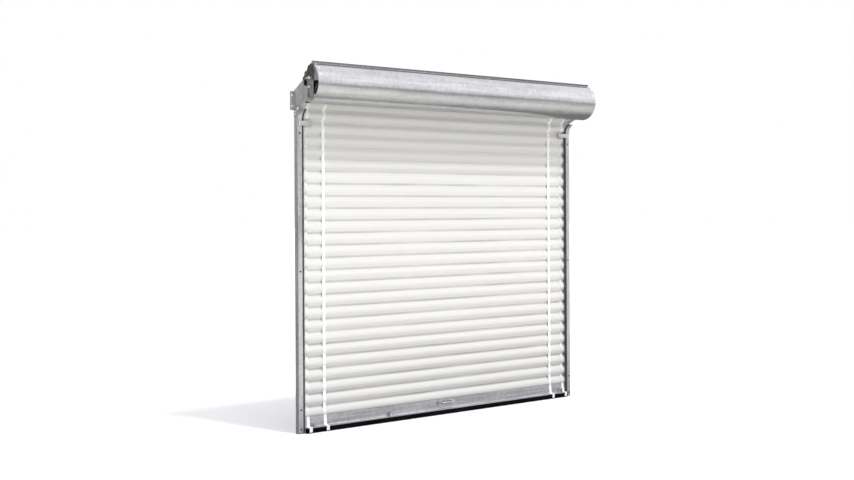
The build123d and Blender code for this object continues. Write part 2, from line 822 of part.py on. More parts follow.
# Head sheet, which leans from the guides to the drum and passes over it
head_start = sheet_joints[-1] * corrugation_pitch
head_end = head_start + lean_length + radians(head_turn) * (head_groove_radius - corrugation_depth / 2)
head_sheet = corrugated(on_head, head_start, head_end, -half_sheet, half_sheet,
                        -curtain_half_width, curtain_half_width)
save(head_sheet, "curtain_head_sheet")

# Wear tapes: along the sheets, over the head sheet, and over the bar and its seal
tape_inner = half_sheet + tape_gap
tape_outer = tape_inner + tape_thickness
tape_start = bar_front_top_z + tape_splice_gap - lowest_groove_z
for number, x in enumerate(tape_places, start=1):
    tape = corrugated(on_straight, tape_start, head_start - joint_gap, tape_inner, tape_outer,
                      x - tape_width / 2, x + tape_width / 2)
    save(tape, f"wear_tape_{number}")

head_tape_start = head_start + tape_outer * sin(lean)
head_tapes = []
for x in tape_places:
    head_tapes.append(corrugated(on_head, head_tape_start, head_start + lean_length, tape_inner, tape_outer,
                                 x - tape_width / 2, x + tape_width / 2))
save(group(head_tapes), "wear_tape_heads")

tape_far = tape_gap + tape_thickness
tape_corner = angle_fillet + tape_corner_gap
angle_shoulder_z = angle_bottom_z + angle_leg
tail_outline = [
    (angle_back + tape_gap, bar_front_top_z),
    (angle_back + tape_far, bar_front_top_z),
    (angle_back + tape_far, angle_shoulder_z + tape_far),
    (angle_face + tape_far, angle_shoulder_z + tape_far),
    (angle_face + tape_far, angle_top_z + tape_corner + tape_thickness),
    (angle_face + tape_corner + tape_thickness, angle_top_z + tape_far),
    (angle_tip + tape_far, angle_top_z + tape_far),
    (angle_tip + tape_far, tape_tail_z),
    (angle_tip + tape_gap, tape_tail_z),
    (angle_tip + tape_gap, angle_top_z + tape_gap),
    (angle_face + tape_corner, angle_top_z + tape_gap),
    (angle_face + tape_gap, angle_top_z + tape_corner),
    (angle_face + tape_gap, angle_shoulder_z + tape_gap),
    (angle_back + tape_gap, angle_shoulder_z + tape_gap),
]
tape_tails = [along_x(tail_outline, x - tape_width / 2, x + tape_width / 2) for x in tape_places]
save(group(tape_tails), "wear_tape_tails")

# Bottom bar: a folded channel round the foot of the lowest sheet
bar_back = groove_plane - half_sheet - bar_gap - bar_steel
bar_outline = [
    (bar_back, bar_bottom_z),
    (angle_back, bar_bottom_z),
    (angle_back, bar_front_top_z),
    (angle_back - bar_steel, bar_front_top_z),
    (angle_back - bar_steel, bar_bottom_z + bar_steel),
    (bar_back + bar_steel, bar_bottom_z + bar_steel),
    (bar_back + bar_steel, bar_back_top_z),
    (bar_back, bar_back_top_z),
]
rivet_z = angle_bottom_z + rivet_rise
handle_z = angle_top_z + handle_rise
pad_rivet_z = handle_z - pad_rivet_drop
rivet_xs = [(step - (rivet_count - 1) / 2) * rivet_pitch for step in range(rivet_count)]
pad_xs = [-handle_span / 2, handle_span / 2]
with BuildPart() as bottom_bar:
    add(along_x(bar_outline, -bar_half_width, bar_half_width))
    for x in rivet_xs:
        add(round_y(x, rivet_z, angle_back - bar_steel, angle_back, rivet_radius + hole_clearance),
            mode=Mode.SUBTRACT)
    for x in pad_xs:
        add(round_y(x, pad_rivet_z, angle_back - bar_steel, angle_back, rivet_radius + hole_clearance),
            mode=Mode.SUBTRACT)
save(bottom_bar.part, "bottom_bar")

with BuildPart() as bottom_angle:
    add(along_x(
        [
            (angle_back, angle_bottom_z),
            (angle_tip, angle_bottom_z),
            (angle_tip, angle_top_z),
            (angle_face, angle_top_z),
            (angle_face, angle_shoulder_z),
            (angle_back, angle_shoulder_z),
        ],
        -angle_half_width,
        angle_half_width,
    ))
    inside_corner = bottom_angle.edges().filter_by(Axis.X).sort_by_distance(
        (0, out(angle_face), angle_top_z)
    )[0]
    fillet(inside_corner, angle_fillet)
    for x in rivet_xs:
        add(round_y(x, rivet_z, angle_back, angle_face, rivet_radius + hole_clearance),
            mode=Mode.SUBTRACT)
    for x in pad_xs:
        add(round_y(x, pad_rivet_z, angle_back, angle_face, rivet_radius + hole_clearance),
            mode=Mode.SUBTRACT)
save(bottom_angle.part, "bottom_angle")

with BuildPart() as bottom_seal:
    add(along_x(
        [
            (seal_front - seal_depth, 0),
            (seal_front, 0),
            (seal_front, angle_bottom_z),
            (seal_front - seal_depth, angle_bottom_z),
        ],
        -angle_half_width,
        angle_half_width,
    ))
    fillet(bottom_seal.edges().filter_by(Axis.X).group_by(Axis.Z)[0], seal_round)
save(bottom_seal.part, "bottom_seal")

# Stop lugs near the ends of the angle
lug_back = angle_face + lug_back_gap
lug_front = angle_tip - lug_front_inset
lug_legs = [(lug_inner_x + lug_steel, lug_top_z), (lug_inner_x + lug_width, angle_top_z + lug_steel)]
with BuildPart() as stop_lug:
    for end_x, top_z in lug_legs:
        add(along_x(
            [(lug_back, angle_top_z), (lug_front, angle_top_z), (lug_front, top_z), (lug_back, top_z)],
            lug_inner_x,
            end_x,
        ))
save(stop_lug.part, "stop_lug_right")
save(mirrored(stop_lug.part), "stop_lug_left")

# Lift handle: a round bow between two riveted pads
pad_front = angle_face + handle_pad_steel
bow_out = pad_front + handle_reach
with BuildPart() as lift_handle:
    with BuildLine() as bow:
        FilletPolyline(
            (-handle_span / 2, out(angle_face + handle_pad_steel / 2), handle_z),
            (-handle_span / 2, out(bow_out), handle_z),
            (handle_span / 2, out(bow_out), handle_z),
            (handle_span / 2, out(angle_face + handle_pad_steel / 2), handle_z),
            radius=handle_bend,
        )
    with BuildSketch(Plane(origin=bow.line @ 0, z_dir=bow.line % 0)):
        Circle(handle_rod_radius)
    sweep(path=bow.line)
    for x in pad_xs:
        with BuildSketch(facing_room(x, angle_face, handle_z - handle_pad_drop)):
            RectangleRounded(handle_pad_width, handle_pad_height, handle_pad_corner)
        extrude(amount=handle_pad_steel)
        add(round_y(x, pad_rivet_z, angle_face, pad_front, rivet_radius + hole_clearance),
            mode=Mode.SUBTRACT)
save(lift_handle.part, "lift_handle")

# Hand tab, folded from plate, beside the handle
tab_front = angle_tip - tab_inset
tab_back = tab_front - tab_foot_length
with BuildPart() as hand_tab:
    add(along_x(
        [
            (tab_back, angle_top_z),
            (tab_front, angle_top_z),
            (tab_front, angle_top_z + handle_pad_steel),
            (tab_back + handle_pad_steel, angle_top_z + handle_pad_steel),
            (tab_back + handle_pad_steel, angle_top_z + tab_height),
            (tab_back, angle_top_z + tab_height),
        ],
        tab_x - tab_width / 2,
        tab_x + tab_width / 2,
    ))
save(hand_tab.part, "hand_tab")

bar_rivets = [rivet_y(x, rivet_z, angle_back - bar_steel, angle_face) for x in rivet_xs]
save(group(bar_rivets), "bar_rivets")
handle_rivets = [rivet_y(x, pad_rivet_z, angle_back - bar_steel, pad_front) for x in pad_xs]
save(group(handle_rivets), "handle_rivets")

lift = stop_bottom_z - lug_top_z
print(f"lean {degrees(lean):.2f} deg, lean length {lean_length:.1f}, lift {lift:.1f}")
print(f"head groove radius {head_groove_radius:.2f}, wall y {wall_y:.2f}, bend z {bend_z:.2f}")
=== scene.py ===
import bpy
import numpy as np
from math import acos, asin, atan, atan2, cos, floor, hypot, pi, radians, sin
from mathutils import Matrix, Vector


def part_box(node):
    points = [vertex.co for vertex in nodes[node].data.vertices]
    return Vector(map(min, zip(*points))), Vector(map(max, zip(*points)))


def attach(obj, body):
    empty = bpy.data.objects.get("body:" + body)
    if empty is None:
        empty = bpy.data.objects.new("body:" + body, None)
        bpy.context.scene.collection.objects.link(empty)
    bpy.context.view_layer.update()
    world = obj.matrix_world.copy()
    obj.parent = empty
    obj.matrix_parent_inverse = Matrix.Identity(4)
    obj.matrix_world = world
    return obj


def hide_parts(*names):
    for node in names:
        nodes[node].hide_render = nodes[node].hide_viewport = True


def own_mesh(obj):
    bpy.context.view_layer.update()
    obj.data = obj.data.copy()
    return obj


# Roller shutter door in metres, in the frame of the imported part: +X along the wall, +Y into it, +Z up.
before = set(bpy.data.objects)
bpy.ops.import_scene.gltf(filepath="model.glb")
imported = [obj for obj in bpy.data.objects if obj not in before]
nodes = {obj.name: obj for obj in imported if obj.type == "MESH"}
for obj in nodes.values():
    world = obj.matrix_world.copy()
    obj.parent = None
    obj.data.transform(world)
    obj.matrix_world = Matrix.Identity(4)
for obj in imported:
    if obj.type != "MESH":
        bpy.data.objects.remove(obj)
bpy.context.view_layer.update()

# Camera: level and at eye height, at the photograph's angle, with its slight roll. Its frame is moved
# down instead of being pitched, which keeps the uprights parallel.
camera_data = bpy.data.cameras.new("camera")
camera_data.sensor_width = 36.0
camera_data.lens = 49.74
camera_data.shift_x = -0.0007
camera_data.shift_y = -0.0336
camera_data.clip_end = 500.0
camera = bpy.data.objects.new("camera", camera_data)
camera.location = (-5.428, -6.495, 1.465)
camera.rotation_euler = (radians(90.0), radians(0.33), radians(-38.48))
bpy.context.scene.collection.objects.link(camera)
bpy.context.scene.camera = camera
bpy.context.scene.view_settings.view_transform = "Standard"

# Light: a soft sun high in front of the door, whose shade reaches about 0.4 m below the hood, and a
# pale room that is darker behind, to the left and near the horizon.
sun_data = bpy.data.lights.new("sun", "SUN")
sun_data.energy = 1.38
sun_data.angle = radians(7.0)
sun = bpy.data.objects.new("sun", sun_data)
sun.rotation_euler = (radians(32.0), radians(10.0), 0.0)
bpy.context.scene.collection.objects.link(sun)

world = bpy.data.worlds.new("room")
world.use_nodes = True
bpy.context.scene.world = world
room = world.node_tree
room.nodes.clear()
direction = room.nodes.new("ShaderNodeTexCoord")
parts = room.nodes.new("ShaderNodeSeparateXYZ")
height = room.nodes.new("ShaderNodeMapRange")
height.inputs["From Min"].default_value = -1.0
levels = room.nodes.new("ShaderNodeValToRGB")
levels.color_ramp.elements[0].position = 0.50
levels.color_ramp.elements[0].color = (0.88, 0.88, 0.90, 1.0)
levels.color_ramp.elements[1].position = 1.0
levels.color_ramp.elements[1].color = (0.95, 0.95, 1.0, 1.0)
for place, level in ((0.57, 0.90), (0.63, 1.04), (0.70, 1.14), (0.90, 1.05)):
    stop = levels.color_ramp.elements.new(place)
    stop.color = (level, level, level * 1.03, 1.0)
rightness = room.nodes.new("ShaderNodeMapRange")
rightness.inputs["From Min"].default_value = -1.0
rightness.inputs["To Min"].default_value = 0.62
rightness.inputs["To Max"].default_value = 1.30
nearness = room.nodes.new("ShaderNodeMapRange")
nearness.inputs["From Min"].default_value = -1.0
nearness.inputs["To Min"].default_value = 1.15
nearness.inputs["To Max"].default_value = 0.80
strength = room.nodes.new("ShaderNodeMath")
strength.operation = "MULTIPLY"
room_light = room.nodes.new("ShaderNodeBackground")
backdrop = room.nodes.new("ShaderNodeBackground")
backdrop.inputs["Color"].default_value = (1.0, 1.0, 1.0, 1.0)
seen_by = room.nodes.new("ShaderNodeLightPath")
either = room.nodes.new("ShaderNodeMixShader")
world_output = room.nodes.new("ShaderNodeOutputWorld")
for source, socket in (
    (direction.outputs["Generated"], parts.inputs["Vector"]),
    (parts.outputs["Z"], height.inputs["Value"]),
    (height.outputs["Result"], levels.inputs["Fac"]),
    (levels.outputs["Color"], room_light.inputs["Color"]),
    (parts.outputs["X"], rightness.inputs["Value"]),
    (parts.outputs["Y"], nearness.inputs["Value"]),
    (rightness.outputs["Result"], strength.inputs[0]),
    (nearness.outputs["Result"], strength.inputs[1]),
    (strength.outputs["Value"], room_light.inputs["Strength"]),
    (seen_by.outputs["Is Camera Ray"], either.inputs["Fac"]),
    (room_light.outputs["Background"], either.inputs[1]),
    (backdrop.outputs["Background"], either.inputs[2]),
    (either.outputs["Shader"], world_output.inputs["Surface"]),
):
    room.links.new(source, socket)


# Floor: plain and white, and so large that its edge doesn't show. It throws less light back than it
# shows, and least from under the door, from far off and from the right, which bands the hood.
sharp_edge = radians(35.0)


def material(name, color, metallic=0.0, roughness=0.5, **sockets):
    """A material with one Principled shader. Values that are even all over are set on its sockets."""
    made = bpy.data.materials.new(name)
    made.use_nodes = True
    shader = made.node_tree.nodes["Principled BSDF"]
    shader.inputs["Base Color"].default_value = (*color, 1.0)
    shader.inputs["Metallic"].default_value = metallic
    shader.inputs["Roughness"].default_value = roughness
    for socket, value in sockets.items():
        shader.inputs[socket.replace("_", " ")].default_value = value
    return made


def mesh_object(name, points, faces, paint):
    """A smooth mesh in the door's frame, with its sharp edges kept."""
    mesh = bpy.data.meshes.new(name)
    mesh.from_pydata([tuple(point) for point in points], [], faces)
    mesh.polygons.foreach_set("use_smooth", [True] * len(mesh.polygons))
    mesh.set_sharp_from_angle(angle=sharp_edge)
    mesh.materials.append(paint)
    mesh.update()
    made = bpy.data.objects.new(name, mesh)
    bpy.context.scene.collection.objects.link(made)
    return made


def add_node(made, kind, inputs=None, **settings):
    """A shader node, with each input either set or fed from another node's output."""
    new = made.node_tree.nodes.new("ShaderNode" + kind)
    for key, value in settings.items():
        setattr(new, key, value)
    for key, value in (inputs or {}).items():
        if isinstance(value, bpy.types.NodeSocket):
            made.node_tree.links.new(value, new.inputs[key])
        else:
            new.inputs[key].default_value = value
    return new


def feed(made, socket, source):
    """Drives one input of the material's shader."""
    shader = made.node_tree.nodes["Principled BSDF"]
    made.node_tree.links.new(source, shader.inputs[socket])


floor_white = (0.97, 0.97, 0.97)
floor_glow = 0.05
floor_far = -16.0
floor_reach = 90.0
floor_paint = material("floor", floor_white, roughness=0.9, Specular_IOR_Level=0.05,
                       Emission_Color=(1.0, 1.0, 1.0, 1.0))
floor_place = add_node(floor_paint, "TexCoord").outputs["Object"]
floor_axes = add_node(floor_paint, "SeparateXYZ", {"Vector": floor_place})
floor_depth = add_node(floor_paint, "Math", {0: floor_axes.outputs["Y"], 1: floor_far},
                       operation="DIVIDE").outputs["Value"]
thrown_back = add_node(floor_paint, "ValToRGB", {"Fac": floor_depth})
thrown_back.color_ramp.elements[0].color = (0.26, 0.26, 0.26, 1.0)
thrown_back.color_ramp.elements[1].color = (0.48, 0.48, 0.48, 1.0)
for place, level in ((0.04, 0.58), (0.14, 1.00), (0.42, 0.92), (0.65, 0.60)):
    stop = thrown_back.color_ramp.elements.new(place)
    stop.color = (level, level * 0.985, level * 0.93, 1.0)
fall = add_node(floor_paint, "MapRange", {
    "Value": floor_axes.outputs["X"], "From Min": 0.5, "From Max": 6.0, "To Min": 1.0, "To Max": 0.65,
}).outputs["Result"]
fading = add_node(floor_paint, "MixRGB", {
    "Fac": 1.0, "Color1": thrown_back.outputs["Color"], "Color2": fall,
}, blend_type="MULTIPLY").outputs["Color"]
seen_directly = add_node(floor_paint, "LightPath").outputs["Is Camera Ray"]
feed(floor_paint, "Base Color", add_node(floor_paint, "MixRGB", {
    "Fac": seen_directly, "Color1": fading, "Color2": (*floor_white, 1.0),
}).outputs["Color"])
feed(floor_paint, "Emission Strength", add_node(floor_paint, "Math", {0: seen_directly, 1: floor_glow},
                                                operation="MULTIPLY").outputs["Value"])
floor_points = [(x * floor_reach, y * floor_reach, 0.0) for x, y in ((-1, -1), (1, -1), (1, 1), (-1, 1))]
ground = mesh_object("floor", floor_points, [(0, 1, 2, 3)], floor_paint)


# Wall guides, head stops and wall brackets: galvanised steel, roll-formed or cut from plate, gone
# dull. The guides are anchored to the jambs through the holes up their faces.
cloud_scale = 3.0
streak_scale = 46.0
grain_scale = 240.0
crystal_share = 0.30
cloud_share = 0.35


def stretched(made, stretch=(1.0, 1.0, 1.0)):
    """Object coordinates, scaled along each axis."""
    place = add_node(made, "TexCoord").outputs["Object"]
    return add_node(made, "Mapping", {"Vector": place, "Scale": stretch}).outputs["Vector"]


def noise(made, scale, stretch=(1.0, 1.0, 1.0), detail=3.0):
    """Soft noise from 0 to 1."""
    place = stretched(made, stretch)
    return add_node(made, "TexNoise", {"Vector": place, "Scale": scale, "Detail": detail}).outputs["Fac"]


def ramp(made, source, stops):
    """Colours along a value, as pairs of place and colour."""
    new = add_node(made, "ValToRGB", {"Fac": source})
    elements = new.color_ramp.elements
    for index, (place, color) in enumerate(stops):
        stop = elements[index] if index < 2 else elements.new(place)
        stop.position = place
        stop.color = (*color, 1.0)
    return new.outputs["Color"]


def between(made, source, low, high):
    """A value from 0 to 1, brought between two others."""
    return add_node(made, "MapRange", {"Value": source, "To Min": low, "To Max": high}).outputs["Result"]


def bump(made, source, strength, depth):
    """Small relief on the surface, whose full depth is in metres."""
    made_bump = add_node(made, "Bump", {"Height": source, "Strength": strength, "Distance": depth})
    feed(made, "Normal", made_bump.outputs["Normal"])


def galvanised(name, dark, light, roughness, spangle=70.0, streak=(1.0, 1.0, 0.06), shade_color=None):
    """Zinc coated steel: crystals that differ a little, broad clouds and streaks along the rolling."""
    made = material(name, light, metallic=1.0, roughness=roughness[0])
    crystals = add_node(made, "TexVoronoi", {"Vector": stretched(made), "Scale": spangle})
    crystal = add_node(made, "RGBToBW", {"Color": crystals.outputs["Color"]}).outputs["Val"]
    clouds = noise(made, cloud_scale, detail=2.0)
    streaks = noise(made, streak_scale, streak, 6.0)
    cloudy = add_node(made, "Math", {0: clouds, 1: cloud_share, 2: streaks}, operation="MULTIPLY_ADD")
    mixed = add_node(made, "Math", {0: crystal, 1: crystal_share, 2: cloudy.outputs["Value"]},
                     operation="MULTIPLY_ADD")
    zinc = ramp(made, mixed.outputs["Value"], [(0.55, dark), (1.0, light)])
    # Painted shade: rows marked in the mesh are darkened toward the given colour.
    if shade_color:
        painted_shade = add_node(made, "Attribute", attribute_name="painted_shade").outputs["Fac"]
        shaded_zinc = add_node(made, "MixRGB", {"Fac": painted_shade, "Color1": zinc, "Color2": (*shade_color, 1.0)})
        zinc = shaded_zinc.outputs["Color"]
    feed(made, "Base Color", zinc)
    feed(made, "Roughness", between(made, streaks, *roughness))
    bump(made, noise(made, grain_scale, streak), 0.25, 0.0004)
    return made


def paint_nodes(made, *names):
    """Gives kept pieces of the frame their material."""
    for name in names:
        slots = nodes[name].material_slots
        if not slots:
            nodes[name].data.materials.append(made)
        for held in slots:
            held.material = made


guide_zinc = galvanised("guide_zinc", (0.38, 0.385, 0.39), (0.63, 0.635, 0.645), (0.34, 0.52))
paint_nodes(guide_zinc, "guide_left", "guide_right", "head_stop_left", "head_stop_right",
            "bracket_left", "bracket_right")


# Guide seals: matt black rubber strips, fixed along the inner lips of the guides and round their
# mouths. They bear on the bottom bar and keep the curtain off the steel.
def mottled(made, scale, dark, light, stretch=(1.0, 1.0, 1.0), detail=3.0):
    """Base colour that drifts between two shades, each given with its place along the noise."""
    feed(made, "Base Color", ramp(made, noise(made, scale, stretch, detail), [dark, light]))


strip_black = material("strip_black", (0.03, 0.03, 0.035), roughness=0.7)
mottled(strip_black, 18.0, (0.3, (0.018, 0.018, 0.022)), (0.75, (0.07, 0.07, 0.08)))
bump(strip_black, noise(strip_black, 900.0, (1.0, 1.0, 0.1)), 0.5, 0.0006)
paint_nodes(strip_black, "guide_seal_left", "guide_seal_right")

# Fasteners: zinc plated bolts, nuts, rivets and screws, bright where the plating is whole. The screws
# at the feet of the guides are blackened.
fastener_zinc = material("fastener_zinc", (0.9, 0.9, 0.88), metallic=0.7, roughness=0.3)
mottled(fastener_zinc, 60.0, (0.3, (0.75, 0.74, 0.72)), (0.55, (0.97, 0.97, 0.96)))
feed(fastener_zinc, "Roughness", between(fastener_zinc, noise(fastener_zinc, 160.0), 0.16, 0.42))
paint_nodes(fastener_zinc, "head_stop_rivets", "bracket_bolts", "axle_u_bolts", "axle_clamp_nuts",
            "hood_screws")
screw_dark = material("screw_dark", (0.05, 0.05, 0.055), metallic=1.0, roughness=0.45)
mottled(screw_dark, 90.0, (0.3, (0.03, 0.03, 0.035)), (0.7, (0.09, 0.09, 0.095)))
paint_nodes(screw_dark, "guide_foot_screws")

# Axle and spring collars: a pipe of mill finish steel that U bolts clamp to the brackets, and the two
# collars on it that hold the springs. They are dark, with light rust.
axle_steel = material("axle_steel", (0.2, 0.2, 0.2), metallic=1.0, roughness=0.5)
mottled(axle_steel, 14.0, (0.35, (0.13, 0.12, 0.115)), (0.7, (0.34, 0.32, 0.3)), (0.2, 1.0, 1.0), 6.0)
feed(axle_steel, "Roughness", between(axle_steel, noise(axle_steel, 40.0), 0.35, 0.65))
bump(axle_steel, noise(axle_steel, 300.0), 0.3, 0.0004)
paint_nodes(axle_steel, "axle", "spring_collars")


# Counterbalance springs: close coils of oiled round wire inside the drum, round the axle, hooked to
# the collar at one end and the end wheel at the other.
def tube(name, path, radius, sides, paint):
    """A round wire along a list of points."""
    path = np.array(path)
    along = np.gradient(path, axis=0)
    along /= np.linalg.norm(along, axis=1)[:, None]
    across = np.cross(along, (1.0, 0.0, 0.0))
    across /= np.linalg.norm(across, axis=1)[:, None]
    third = np.cross(along, across)
    turns = np.arange(sides) * 2 * pi / sides
    rings = (path[:, None, :] + radius * (np.cos(turns)[None, :, None] * across[:, None, :]
                                          + np.sin(turns)[None, :, None] * third[:, None, :]))
    faces = [(row * sides + k, row * sides + (k + 1) % sides,
              (row + 1) * sides + (k + 1) % sides, (row + 1) * sides + k)
             for row in range(len(path) - 1) for k in range(sides)]
    faces.append(tuple(reversed(range(sides))))
    faces.append(tuple((len(path) - 1) * sides + k for k in range(sides)))
    return mesh_object(name, rings.reshape(-1, 3), faces, paint)


spring_oiled = material("spring_oiled", (0.06, 0.06, 0.065), metallic=1.0, roughness=0.34)
mottled(spring_oiled, 30.0, (0.3, (0.04, 0.04, 0.042)), (0.7, (0.16, 0.15, 0.14)))
wire = 0.007
wire_shown = 0.97
wire_sides = 7
coil_pitch = 0.0073
steps_per_coil = 22
for name in ("spring_left", "spring_right"):
    low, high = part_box(name)
    middle_y = (low.y + high.y) / 2
    middle_z = (low.z + high.z) / 2
    coil_radius = (high.z - low.z - wire) / 2
    coil_length = high.x - low.x - wire
    coil_count = coil_length / coil_pitch
    steps = np.linspace(0.0, 1.0, int(coil_count * steps_per_coil))
    turns = steps * coil_count * 2 * pi
    path = np.stack([low.x + wire / 2 + steps * coil_length, middle_y + coil_radius * np.cos(turns),
                     middle_z + coil_radius * np.sin(turns)], axis=1)
    coil = tube(name + "_coil", path, wire / 2 * wire_shown, wire_sides, spring_oiled)
    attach(coil, "frame")
    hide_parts(name)

# Drum wheels and their bushes: pressed galvanised wheels spaced along the axle, which carry the
# curtain, on bushes of natural nylon that turn on the pipe.
# Painted shade: the wheels' zinc is made dark, standing for the shade inside the drum.
wheel_painted_shade = galvanised("wheel_painted_shade", (0.13, 0.135, 0.16), (0.34, 0.345, 0.37), (0.3, 0.5))
paint_nodes(wheel_painted_shade, *[f"drum_wheel_{number}" for number in range(1, 6)])
nylon = material("nylon", (0.82, 0.8, 0.74), roughness=0.42, Subsurface_Weight=0.15)
mottled(nylon, 25.0, (0.3, (0.74, 0.72, 0.64)), (0.7, (0.86, 0.85, 0.8)))
bump(nylon, noise(nylon, 500.0), 0.15, 0.0002)
paint_nodes(nylon, *[f"drum_bearing_{number}" for number in range(1, 6)])

# Curtain: corrugated steel, with white baked polyester in front and a slate backing coat behind, which
# comes outside on the drum; the slate is dark enough to stand for the shade on the drum inside the hood.
# Its sheets lap over each other at the front of a crest. The first turn stays on the drum, and the head
# sheet leans from the guides to it.
pitch = 0.08255
corrugation = 0.016
groove_chord = 0.03055
sheet_steel = 0.0008
foot_corrugations = 1.5
wrap_corrugations = 6
lap_rise = 0.0009
lap_height = 0.013
lap_fade = 0.006
lap_under = 0.010
half_sheet = sheet_steel / 2
flank = 2 * atan(2 * corrugation / pitch)
groove_radius = groove_chord / 2 / sin(flank)
crest_radius = (pitch - groove_chord) / 2 / sin(flank)
foot_low, foot_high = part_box("curtain_sheet_1")
head_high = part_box("curtain_head_sheet")[1]
axle_low, axle_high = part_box("axle")
groove_y = foot_high.y - half_sheet
lowest_groove_z = foot_low.z + foot_corrugations * pitch
axle_y = (axle_low.y + axle_high.y) / 2
axle_z = (axle_low.z + axle_high.z) / 2
wrap_low, wrap_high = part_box("drum_sheet")

# Painted light and shade on the curtain: its grooves are painted dark; in the open, the faces that look
# up are painted darker and those that look down lighter; grooves and faces both grow darker toward the
# floor. Under the hood the sheet is painted darker, the faces that look down are darker than those that
# look up, and the grooves are less dark.
groove_line = 14
groove_shade_sheltered = 0.5
groove_shade_open = 0.9
groove_shade_near_floor = 0.35
light_sheltered = 0.35
light_open = 0.5
light_near_floor = -0.22
light_by_slope = 0.5
turned_under_hood = 0.35
sheltered_z = 1.80
shelter_fade = 0.10
near_floor_height = 0.9


def sheet_point(run, offset):
    """Place on a flat sheet: run from the lowest groove, and height toward the front."""
    step = floor((run + groove_chord / 2) / pitch)
    local = run - step * pitch
    if local <= groove_chord / 2:
        turn = asin(local / groove_radius)
        reach = groove_radius - offset
        return step * pitch + reach * sin(turn), groove_radius - reach * cos(turn)
    turn = asin((local - pitch / 2) / crest_radius)
    reach = crest_radius + offset
    return (step + 0.5) * pitch + reach * sin(turn), corrugation - crest_radius + reach * cos(turn)


def shell(name, front, back, paint, closed=False, marks=None, inner_paint=None):
    """A closed thin piece from two grids of points, which may join into a ring along their rows."""
    rows, columns, _ = front.shape
    count = rows * columns
    last = rows if closed else rows - 1
    faces = []
    for row in range(last):
        for column in range(columns - 1):
            a = row * columns + column
            b = (row + 1) % rows * columns + column
            faces.append((a, a + 1, b + 1, b))
            faces.append((count + a, count + b, count + b + 1, count + a + 1))
        for column, flip in ((0, False), (columns - 1, True)):
            a = row * columns + column
            b = (row + 1) % rows * columns + column
            edge = (a, b, count + b, count + a)
            faces.append(tuple(reversed(edge)) if flip else edge)
    if not closed:
        for row, flip in ((0, True), (rows - 1, False)):
            for column in range(columns - 1):
                a = row * columns + column
                edge = (a, a + 1, count + a + 1, count + a)
                faces.append(tuple(reversed(edge)) if flip else edge)
    points = np.concatenate([front.reshape(-1, 3), back.reshape(-1, 3)])
    made = mesh_object(name, points, faces, paint)
    if inner_paint:
        made.data.materials.append(inner_paint)
        made.data.polygons.foreach_set("material_index", [int(min(face) >= count) for face in faces])
    for mark, by_row in (marks or {}).items():
        values = np.tile(np.repeat(by_row, columns), 2).astype(np.float32)
        made.data.attributes.new(mark, "FLOAT", "POINT").data.foreach_set("value", values)
    return made


def strip(name, place, runs, inner, outer, xs, rise, paint, closed=False, inner_paint=None):
    """A strip that follows the corrugations, marked with its painted light and shade. rise(x, run) lifts
    it forward.
    """
    back = np.array([place(run, inner) for run in runs])
    front = np.array([place(run, outer) for run in runs])
    normal = (front - back) / (outer - inner)
    lift = np.array([[rise(x, run) for x in xs] for run in runs])
    grids = []
    for face in (front, back):
        yz = face[:, None, :] + normal[:, None, :] * lift[:, :, None]
        x_grid = np.broadcast_to(np.array(xs)[None, :, None], (len(runs), len(xs), 1))
        grids.append(np.concatenate([x_grid, yz], axis=2))
    heights = np.array([sheet_point(run, 0.0)[1] for run in runs]) / corrugation
    facing_down = np.gradient(heights, runs)
    open_share = np.clip((sheltered_z - lowest_groove_z - runs) / shelter_fade, 0.0, 1.0)
    near_floor = np.clip(1.0 - runs / near_floor_height, 0.0, 1.0)
    groove_shade = (groove_shade_sheltered + (groove_shade_open - groove_shade_sheltered) * open_share
            + groove_shade_near_floor * near_floor)
    level = light_sheltered + (light_open - light_sheltered) * open_share + light_near_floor * near_floor
    turned = (1.0 + turned_under_hood) * open_share - turned_under_hood
    # Painted shade in the grooves, and painted light and shade by slope and height.
    marks = {"painted_shade": (1.0 - heights) ** groove_line * groove_shade,
             "painted_light": level + light_by_slope * facing_down / np.abs(facing_down).max() * turned}
    return shell(name, grids[0], grids[1], paint, closed, marks, inner_paint)


waves = np.random.default_rng(11)
wave_count = 6
wave_lengths = waves.uniform(0.35, 1.4, (wave_count, 2))
wave_phases = waves.uniform(0.0, 2 * pi, wave_count)
wave_height = 0.00022
wave_fade = 0.15
bar_clearance = 0.02
bar_top_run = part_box("bottom_bar")[1].z + bar_clearance - lowest_groove_z


def oil_can(x, run):
    """Slight waviness of thin sheet, which dies out in the bottom bar."""
    clear = min(1.0, max(0.0, (run - bar_top_run) / wave_fade))
    sines = [sin(2 * pi * (x / a + run / b) + phase) for (a, b), phase in zip(wave_lengths, wave_phases)]
    return wave_height * clear * sum(sines)


def lapped(x, run, joint, lead=0.0):
    """Waviness, with the lower edge of a sheet lying over the sheet below."""
    past = run - joint
    if past < 0:
        lap = max(0.0, 1 + past / lead) if lead else 0.0
    else:
        lap = min(1.0, max(0.0, 1 - (past - lap_height) / lap_fade))
    return oil_can(x, run) + lap_rise * lap


def on_straight(run, offset):
    """Sheet in the guides, upright."""
    along, high = sheet_point(run, offset)
    return groove_y - high, lowest_groove_z + along


straight_corrugations = round((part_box("curtain_sheet_4")[1].z - lowest_groove_z) / pitch)
head_start = straight_corrugations * pitch
bend_z = lowest_groove_z + head_start
wrap_groove_radius = (wrap_high.z - wrap_low.z) / 2 - half_sheet
head_groove_radius = head_high.z - axle_z - half_sheet
bend_to_axle_out = groove_y - axle_y
bend_to_axle_up = axle_z - bend_z
bend_to_axle = hypot(bend_to_axle_out, bend_to_axle_up)
lean = acos(head_groove_radius / bend_to_axle) - atan2(bend_to_axle_up, bend_to_axle_out)
lean_length = (bend_to_axle**2 - head_groove_radius**2) ** 0.5
head_turn = radians(100.0)
head_mean_radius = head_groove_radius - corrugation / 2
head_end = head_start + lean_length + head_turn * head_mean_radius


